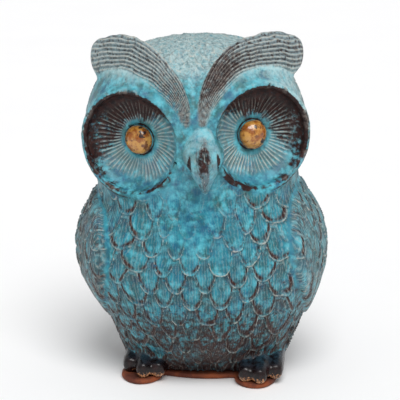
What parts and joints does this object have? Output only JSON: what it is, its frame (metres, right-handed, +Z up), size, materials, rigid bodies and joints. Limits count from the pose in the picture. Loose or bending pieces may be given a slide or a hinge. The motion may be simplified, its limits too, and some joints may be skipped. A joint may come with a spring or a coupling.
{
  "type": "owl figurine",
  "caption": "Free-standing hollow ceramic owl with cupped facial discs, ear tufts, folded wings and a flat clay base; decorates a shelf.",
  "frame": {"origin": "centre of the bounding box, on the plane that the base slab rests on", "axes": "+Z up through the head, the owl looks along -Y, and its own left side is +X"},
  "size_m": [0.1323, 0.1071, 0.1813],
  "materials": {
    "body_glaze": "satin turquoise glaze, thick and blue where it pools, over dark brown clay",
    "thin_glaze": "satin grey-turquoise glaze worn thin over brown clay",
    "dark_glaze": "glossy brown-black glaze",
    "eye_glaze": "glossy amber glaze with dark specks",
    "raw_clay": "matte unglazed red-brown clay"
  },
  "bodies": {
    "root": {"base_slab": "raw_clay", "front_shell": "body_glaze", "back_shell": "body_glaze", "tail": "thin_glaze", "wing_left": "thin_glaze", "wing_right": "thin_glaze", "brow_tuft_left": "thin_glaze", "brow_tuft_right": "thin_glaze", "facial_disc_left": "body_glaze", "facial_disc_right": "body_glaze", "beak": "body_glaze", "eye_bead_left": "eye_glaze", "eye_bead_right": "eye_glaze", "toe_left_inner": "dark_glaze", "toe_left_middle": "dark_glaze", "toe_left_outer": "dark_glaze", "toe_right_inner": "dark_glaze", "toe_right_middle": "dark_glaze", "toe_right_outer": "dark_glaze"}
  },
  "joints": []
}
